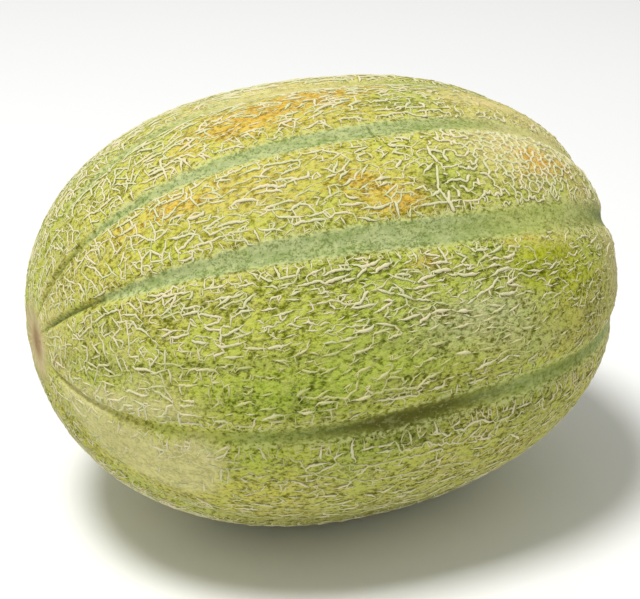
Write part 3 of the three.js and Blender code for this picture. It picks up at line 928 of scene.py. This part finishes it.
class Growth:
    def __init__(self, seed):
        self.dice = random.Random(seed)
        self.cords = []
        self.bins = {}

    def row(self, arc):
        return min(max(int(arc / net["binSize"]) + 1, 0), len(tables["rowRadius"]) - 1)

    def column(self, turn, row):
        return int(turn * tables["rowRadius"][row] / net["binSize"])

    def near(self, polar, turn, limit, skip=-1):
        # distance, cord and point of the nearest grown point within the limit
        arc = arcAt(polar)
        radius = radiusAt(polar)
        best = (limit, -1, 0)
        middle = self.row(arc)
        for row in range(max(0, middle - 1), min(middle + 2, len(tables["rowRadius"]))):
            column = self.column(turn, row)
            for beside in (column - 1, column, column + 1):
                for otherArc, otherTurn, cord, index in self.bins.get((row, beside), ()):
                    if cord == skip:
                        continue
                    distance = hypot(otherArc - arc, (otherTurn - turn) * radius)
                    if distance < best[0]:
                        best = (distance, cord, index)
        return best

    def free(self, polar, turn):
        scar = form["blossomScarRadius"] if polar < pi / 2 else form["stemScarRadius"]
        offScar = radiusAt(polar) > scar + net["clearOfScar"]
        return offScar and edgeOf(polar, turn) > -net["overBand"]

    def walk(self, start, heading, axis, kind, reach, skip=-1):
        # heading 0 is towards the stem end; axis is the direction it is drawn to
        settings = cordKinds[kind]
        joins = self.dice.random() < settings["join"]
        limit = net["joinAt"] if joins else net["stopAt"]
        polar, turn = start
        points = []
        nextKink = 0
        nudge = 0.01
        for count in range(max(1, round(reach / net["step"]))):
            if count >= nextKink:
                nextKink = count + self.dice.randrange(1, 4)
                off = (axis - heading + pi / 2) % pi - pi / 2
                kink = self.dice.gauss(0, radians(settings["kink"]))
                heading += kink * (count > 0) + settings["pull"] * off
            rise = arcAt(polar + nudge) - arcAt(polar - nudge)
            polar += net["step"] * cos(heading) / (rise / (2 * nudge))
            turn += net["step"] * sin(heading) / radiusAt(polar)
            if not self.free(polar, turn):
                break
            distance, cord, index = self.near(polar, turn, limit, skip if count < 2 else -1)
            if cord >= 0:
                if joins:
                    points.append(self.cords[cord]["points"][index])
                return points, joins
            points.append((polar, turn))
        return points, False

    def store(self, points, strength, kind, joined):
        number = len(self.cords)
        self.cords.append(dict(points=points, strength=strength, kind=kind, joined=joined))
        for index, (polar, turn) in enumerate(points):
            arc = arcAt(polar)
            row = self.row(arc)
            key = (row, self.column(turn, row))
            self.bins.setdefault(key, []).append((arc, turn, number, index))

    def strengthOf(self, kind, polar, turn):
        ends = 0.85 + 0.15 * easeIn(sin(polar), 0.25, 0.75)
        calm = 1 - 0.15 * weightAt("calm", polar, turn)
        return self.dice.uniform(*cordKinds[kind]["strength"]) * ends * calm

    def lengthOf(self, kind, lean=1):
        # the higher lean is, the fewer are long
        low, high = cordKinds[kind]["length"]
        return low + (high - low) * self.dice.random() ** lean

    def axisOf(self, polar, turn):
        # along the ribs, or across them near a band's edge and near the ends
        nearEdge = easeIn(edgeOf(polar, turn), *net["crossNear"]) * net["crossAtEdge"]
        nearEnd = endWeight(polar) * net["crossAtEnd"][turn > sutureTurns[5]]
        if self.dice.random() < max(nearEdge, nearEnd):
            return pi / 2 + radians(self.dice.gauss(0, net["crossTurn"]))
        return radians(self.dice.gauss(*net["alongTurn"]))

    def cells(self, middle):
        # a mesh of small closed cells: points strewn over the skin round the middle are joined
        # in triangles, and the cords link the middles of neighbouring triangles
        dice = self.dice
        reach = net["cellReach"]
        coarse = net["cellSpacing"][1]
        middleArc = arcAt(middle[0])

        def placeOf(point):
            polar = polarAt(middleArc + point.x)
            return polar, middle[1] + point.y / radiusAt(polar)

        held = {}
        strewn = []
        for _ in range(net["cellTries"]):
            here = (dice.uniform(-reach, reach), dice.uniform(-reach, reach))
            gap = dice.uniform(*net["cellSpacing"])
            column = int(here[0] // coarse)
            row = int(here[1] // coarse)
            near = (
                other for i in (-1, 0, 1) for j in (-1, 0, 1)
                for other in held.get((column + i, row + j), ())
            )
            if all(dist(here, other) > gap for other in near):
                held.setdefault((column, row), []).append(here)
                strewn.append(Vector(here))
        found, _, faces, *_ = delaunay_2d_cdt(strewn, [], [], 0, 1e-6)
        middles = [sum((found[corner] for corner in face), Vector((0, 0))) / 3 for face in faces]
        sides = {}
        for number, face in enumerate(faces):
            for i, corner in enumerate(face):
                sides.setdefault(frozenset((corner, face[i - 1])), []).append(number)
        for pair in sides.values():
            if len(pair) < 2:
                continue
            start, end = middles[pair[0]], middles[pair[1]]
            count = max(2, round((end - start).length / net["step"]) + 1)
            aside = Vector((start.y - end.y, end.x - start.x)) * dice.gauss(0, net["cellBend"])
            points = []
            for i in range(count):
                share = i / (count - 1)
                points.append(placeOf(start.lerp(end, share) + aside * min(share, 1 - share) * 2))
            polar, turn = points[0]
            chance = min(weightAt("cells", polar, turn), net["cellMost"])
            if dice.random() < chance and all(self.free(*point) for point in points):
                self.store(points, self.strengthOf("cell", polar, turn), "cell", (True, True))

    def lead(self, places):
        # one cord through the given places, unsteady in between
        dice = self.dice
        keeps, adds = net["ledDrift"]
        points = []
        drift = 0
        marks = [(radians(polar), radians(around) - firstLongitude) for polar, around in places]
        for start, end in zip(marks, marks[1:]):
            radius = radiusAt(start[0])
            rise = arcAt(end[0]) - arcAt(start[0])
            count = max(1, round(hypot(rise, (end[1] - start[1]) * radius) / net["step"]))
            for i in range(count):
                drift = drift * keeps + dice.gauss(0, adds)
                share = i / count
                polar = start[0] + (end[0] - start[0]) * share
                points.append((polar, start[1] + (end[1] - start[1]) * share + drift / radius))
        self.store(points, dice.uniform(*cordKinds["led"]["strength"]), "led", (False, False))

    def side(self, place, heading, axis, kind, reach, parent=-1):
        # a short cord that leaves one place, which may be on another cord
        points, joined = self.walk(place, heading, axis, kind, reach, parent)
        if points:
            strength = self.strengthOf(kind, *place)
            if parent >= 0:
                strength = min(strength, self.cords[parent]["strength"])
            self.store([place] + points, strength, kind, (parent >= 0, joined))

    def sow(self, kind):
        # cords from seeds strewn over the ribs, grown both ways
        dice = self.dice
        settings = cordKinds[kind]
        least, most = settings["fromEdge"]
        for _ in range(settings["tries"]):
            polar = acos(dice.uniform(-net["poleLevel"], net["poleLevel"]))
            place = (polar, dice.uniform(0, fullTurn))
            if not least < edgeOf(*place) < most or not self.free(*place):
                continue
            sparse = weightAt("calm", *place)
            skip = max(sparse * net["seedCalm"], net["seedCells"] * weightAt("cells", *place))
            if settings.get("atEnds"):
                skip = max(skip, 1 - endWeight(polar))
            if dice.random() < skip:
                continue
            spacing = settings["spacing"] * dice.uniform(*net["seedJitter"])
            if self.near(*place, min(spacing, net["seedMost"]))[1] >= 0:
                continue
            axis = 0.0 if settings.get("alongBand") else self.axisOf(*place)
            heading = axis + dice.gauss(0, radians(net["seedTurn"]))
            reach = self.lengthOf(kind, net["seedLean"]) * (1 - net["shorterCalm"] * sparse)
            reach *= 1 - net["shorterEnd"] * easeIn(polar, *towardsStem)
            ahead, joinedAhead = self.walk(place, heading, axis, kind, reach / 2)
            back, joinedBack = self.walk(place, heading + pi, axis, kind, reach / 2)
            points = back[::-1] + [place] + ahead
            if len(points) > 3:
                strength = self.strengthOf(kind, *place)
                self.store(points, strength, kind, (joinedBack, joinedAhead))

    def comb(self, kind):
        # short cords that stand on both edges of every band
        dice = self.dice
        settings = cordKinds[kind]
        edges = [(rib + (way < 0), way) for rib in range(len(sutures)) for way in (1, -1)]
        for suture, side in edges:
            arc = dice.uniform(*net["combFrom"])
            while arc < tables["arc"][-1] - net["combTo"]:
                arc += settings["spacing"] * dice.uniform(*net["combJitter"])
                polar = polarAt(arc)
                inset = dice.uniform(-net["combInset"], net["combInset"])
                inset = bandReach(polar, suture, side) + inset
                place = (polar, sutureTurns[suture] + side * inset / radiusAt(polar))
                if dice.random() < weightAt("calm", *place) * net["combCalm"]:
                    continue
                if not self.free(*place) or self.near(*place, settings["clear"])[1] >= 0:
                    continue
                axis = pi / 2 + radians(dice.gauss(0, net["combTurn"]))
                heading = axis if side > 0 else axis + pi
                self.side(place, heading, axis, kind, self.lengthOf(kind))

    def branch(self, kind):
        # side cords that leave the ones grown so far
        dice = self.dice
        every = cordKinds[kind]["every"]
        for number in range(len(self.cords)):
            points = self.cords[number]["points"]
            if self.cords[number]["kind"] == "cell":
                continue
            index = dice.randrange(1, 1 + every)
            while index < len(points) - 1:
                place = points[index]
                before, after = points[index - 1], points[index + 1]
                along = (after[1] - before[1]) * radiusAt(place[0])
                ahead = atan2(along, arcAt(after[0]) - arcAt(before[0]))
                aside = dice.choice((-1, 1)) * radians(dice.uniform(*cordKinds[kind]["angles"]))
                heading = ahead + aside
                if dice.random() < net["backwards"]:
                    heading += pi
                reach = self.lengthOf(kind, net["sideLean"])
                self.side(place, heading, heading, kind, reach, number)
                index += dice.randrange(1, 1 + every)


def growNet():
    growth = Growth(net["seed"])
    for places in ledCords:
        growth.lead(places)
    for polar, around, *_ in patches["cells"]:
        growth.cells((radians(polar), radians(around - sutures[0][0])))
    for kind in ("rail", "twig", "main"):
        growth.sow(kind)
    growth.comb("comb")
    growth.branch("branch")
    growth.branch("spur")
    growth.comb("fringe")
    growth.sow("fine")
    return growth


def paintPitsAndShadeNearCords(mesh, growth):
    # how near the heavier cords are; the skin is darker and more pitted beside them, partly its own
    # pits and partly painted shade that the raised cords cast
    near = []
    polars = readAttribute(mesh, "polar").tolist()
    turns = ((readAttribute(mesh, "around") - firstLongitude) % fullTurn).tolist()
    for polar, turn in zip(polars, turns):
        distance, cord, _ = growth.near(polar, turn, net["crowdLimit"])
        heavy = growth.cords[cord]["strength"] - net["crowdFrom"] if cord >= 0 else 0
        near.append(max(0.0, heavy) * exp(-(distance / net["crowdReach"]) ** 2))
    writeAttribute(mesh, "pitsAndShadeNearCords", near)


def linesOfCords(cords, name):
    # the grown lines as a mesh of bare edges, a little above the smooth skin
    rows = []
    edges = []
    thinning = net["endThinning"]
    for cord in cords:
        points = cord["points"]
        last = len(points) - 1
        start, end = (net["joinedEnd"] if joined else net["freeEnd"] for joined in cord["joined"])
        for index, (polar, turn) in enumerate(points):
            fromStart = index * net["step"]
            fromEnd = (last - index) * net["step"]
            taper = min(1.0, start + fromStart / net["taper"], end + fromEnd / net["taper"])
            slim = 1 - thinning * easeIn(polar, *slimBlossom) - thinning * easeIn(polar, *towardsStem)
            if index:
                edges.append((len(rows) - 1, len(rows)))
            width = net["halfWidth"] * cord["strength"] * taper * slim
            rows.append((polar, turn + firstLongitude, width, cord["strength"]))
    polars, arounds, widths, strengths = np.array(rows).T.copy()
    x, y, z = skinPlace(polars, arounds)["point"]
    mesh = bpy.data.meshes.new(name)
    mesh.from_pydata(np.stack([x, y, np.maximum(0, z + middleHeight)], axis=1) * mm, edges, [])
    warm, calm, pale, cells, tan, gold = (
        patchWeight(kind, polars, arounds)
        for kind in ("warm", "calm", "pale", "cells", "tan", "gold")
    )
    faint = faintWeight(polars, arounds)
    weak = np.maximum(np.maximum(calm, faint * 0.4), warm * 0.8)
    bleached = np.maximum(np.maximum(pale, tan), gold * 0.5)
    heavy = smoothStep(strengths, 0.4, 1.15)
    writeAttribute(mesh, "halfWidth", widths * (1 - 0.3 * warm) * mm)
    writeAttribute(mesh, "strength", strengths * (1 - 0.65 * weak) + 0.4 * pale + 0.25 * cells)
    # how strongly the painted shade at a cord's foot shows
    writeAttribute(mesh, "footShade", (1 - bleached) * (0.15 + 0.85 * heavy) * (1 - 0.6 * weak))
    return mesh


def cordTree(section):
    graph, named = startTree(f"{section}OnSkin", {
        "Skin": "Object",
        "Wiggle": net["wiggle"] * mm,
        "Wiggle Size": net["wiggleSize"] * mm,
        "Swell": net["swell"],
        "Material": "Material",
    })

    def stray(size):
        # noise of about -0.25 to 0.25 each way, by place
        place = graph.add("GeometryNodeInputPosition")
        inputs = {"Vector": place, "Scale": 1 / size, "Detail": 1.0}
        noise = graph.add("ShaderNodeTexNoise", inputs, "Color")
        return graph.vector("SUBTRACT", noise, (0.5, 0.5, 0.5))

    skin = graph.add("GeometryNodeObjectInfo", {"Object": named["Skin"]}, "Geometry")
    curve = graph.add("GeometryNodeMeshToCurve", {"Mesh": named["Geometry"]})
    offset = graph.vector("SCALE", stray(named["Wiggle Size"]), named["Wiggle"] * 4)
    curve = graph.add("GeometryNodeSetPosition", {"Geometry": curve, "Offset": offset})
    inputs = {"Target": skin, "Source Position": graph.add("GeometryNodeInputPosition")}
    onSkin = graph.add("GeometryNodeProximity", inputs, "Position", target_element="FACES")
    curve = graph.add("GeometryNodeSetPosition", {"Geometry": curve, "Position": onSkin})
    inputs = {
        "Mesh": skin,
        "Value": graph.add("GeometryNodeInputNormal"),
        "Sample Position": graph.add("GeometryNodeInputPosition"),
    }
    surface = "GeometryNodeSampleNearestSurface"
    facing = graph.add(surface, inputs, "Value", data_type="FLOAT_VECTOR")
    inputs = {"Curve": curve, "Normal": facing}
    curve = graph.add("GeometryNodeSetCurveNormal", inputs, mode="FREE")
    swelling = graph.separate(stray(net["swellSize"] * mm), "X")
    inputs = {"Name": "halfWidth"}
    width = graph.add("GeometryNodeInputNamedAttribute", inputs, data_type="FLOAT")
    corners = sections[section]
    ring = graph.add("GeometryNodeCurvePrimitiveCircle", {"Resolution": len(corners)}, "Curve")
    index = graph.add("GeometryNodeInputIndex")
    across = 0
    upward = 0
    rise = 0
    for number, (side, level) in enumerate(corners):
        here = graph.number("COMPARE", index, number, 0.1)
        across = across + here * side
        upward = upward + here * level
        rise = rise + here * (level > 0)
    outline = graph.add("GeometryNodeSetPosition", {
        "Geometry": ring, "Position": graph.combine(upward, across),
    })
    outline = graph.store(outline, "rise", rise)
    swept = graph.add("GeometryNodeCurveToMesh", {
        "Curve": curve,
        "Profile Curve": outline,
        "Scale": width * (1 + swelling * named["Swell"] * 4),
        "Fill Caps": True,
    })
    endTree(graph, swept, named["Material"])
    return graph.tree


def keepAboveFloor(mesh):
    places = np.empty(len(mesh.vertices) * 3, dtype=np.float32)
    mesh.vertices.foreach_get("co", places)
    places[2::3] = np.maximum(places[2::3], 0)
    mesh.vertices.foreach_set("co", places)
    mesh.update()


def countTriangles(piece):
    return sum(len(face.vertices) - 2 for face in piece.data.polygons)


def makeNet(skin, material):
    growth = growNet()
    paintPitsAndShadeNearCords(skin.data, growth)
    trees = {section: cordTree(section) for section in sections}
    pieces = []
    for section, tree in trees.items():
        thin = section == "thread"
        for rib in range(len(sutures)):
            chosen = [
                cord for cord in growth.cords
                if ribOf(cord["points"][0][1]) == rib and (cord["kind"] in thinKinds) == thin
            ]
            name = f"{section}Rib{rib + 1:02d}"
            values = {"Skin": skin, "Material": material}
            piece = runTree(tree, name, values, linesOfCords(chosen, name))
            keepAboveFloor(piece.data)
            pieces.append(piece)
            length = sum(len(cord["points"]) - 1 for cord in chosen) * net["step"] / 1000
            print(f"{name}: {len(chosen)} cords, {length:.1f} m, {countTriangles(piece)} triangles")
    return pieces


# Floor, light and camera.
room = {
    "floorSize": 2.4,
    "floorTones": (fromScreen(246, 246, 244), fromScreen(244, 244, 243)),
    "floorMottle": 300,      # mm
    "worldStrength": 0.42,
    "lights": {              # power in watts, size and place in metres
        "keyLight": (26.0, 0.5, (-0.5, -0.1, 1.7)),
        "fillLight": (0.6, 1.2, (0.9, -0.9, 0.5)),
    },
}
view = {
    "fromMiddle": (-185.1, -436.1, 220.2),   # mm
    "lens": 91.1,
    "sensor": 36,
    "shift": (-0.0062, -0.0075),
}


def makeFloor():
    half = room["floorSize"] / 2
    mesh = bpy.data.meshes.new("floor")
    corners = [(-half, -half, 0), (half, -half, 0), (half, half, 0), (-half, half, 0)]
    mesh.from_pydata(corners, [], [(0, 1, 2, 3)])
    material, graph, place = newMaterial("floorPaper")
    tone = graph.mix(graph.noise(place, room["floorMottle"]), *room["floorTones"])
    finishMaterial(graph, {"Base Color": tone, "Roughness": 0.9, "Specular IOR Level": 0.1})
    mesh.materials.append(material)
    return newObject("floor", mesh)


def aimAtMelon(holder, place):
    holder.location = place
    aim = Vector((0, 0, middleHeight * mm)) - place
    holder.rotation_euler = aim.to_track_quat("-Z", "Y").to_euler()


def addLight(name, power, size, place):
    lamp = bpy.data.lights.new(name, "AREA")
    lamp.energy = power
    lamp.shape = "DISK"
    lamp.size = size
    aimAtMelon(newObject(name, lamp), Vector(place))


def makeRoom():
    world = bpy.data.worlds.new("softRoom")
    world.use_nodes = True
    sky = world.node_tree.nodes["Background"]
    sky.inputs["Color"].default_value = (1, 1, 1, 1)
    sky.inputs["Strength"].default_value = room["worldStrength"]
    bpy.context.scene.world = world
    for name, values in room["lights"].items():
        addLight(name, *values)


def makeCamera():
    lens = bpy.data.cameras.new("camera")
    lens.lens = view["lens"]
    lens.sensor_width = view["sensor"]
    lens.sensor_fit = "HORIZONTAL"
    lens.shift_x, lens.shift_y = view["shift"]
    camera = newObject("camera", lens)
    aimAtMelon(camera, Vector((0, 0, middleHeight * mm)) + Vector(view["fromMiddle"]) * mm)
    bpy.context.scene.camera = camera


makeCamera()
makeRoom()
floor = makeFloor()
print("camera, lights and floor are set")

rindPiece = makeRind(rindMaterial())
paintPatches(rindPiece.data)
print(f"rind: {countTriangles(rindPiece)} triangles")
netPieces = makeNet(rindPiece, corkMaterial())

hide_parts("melon")
for piece in [rindPiece, *netPieces]:
    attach(piece, "root")
bpy.context.scene.view_settings.view_transform = "Standard"
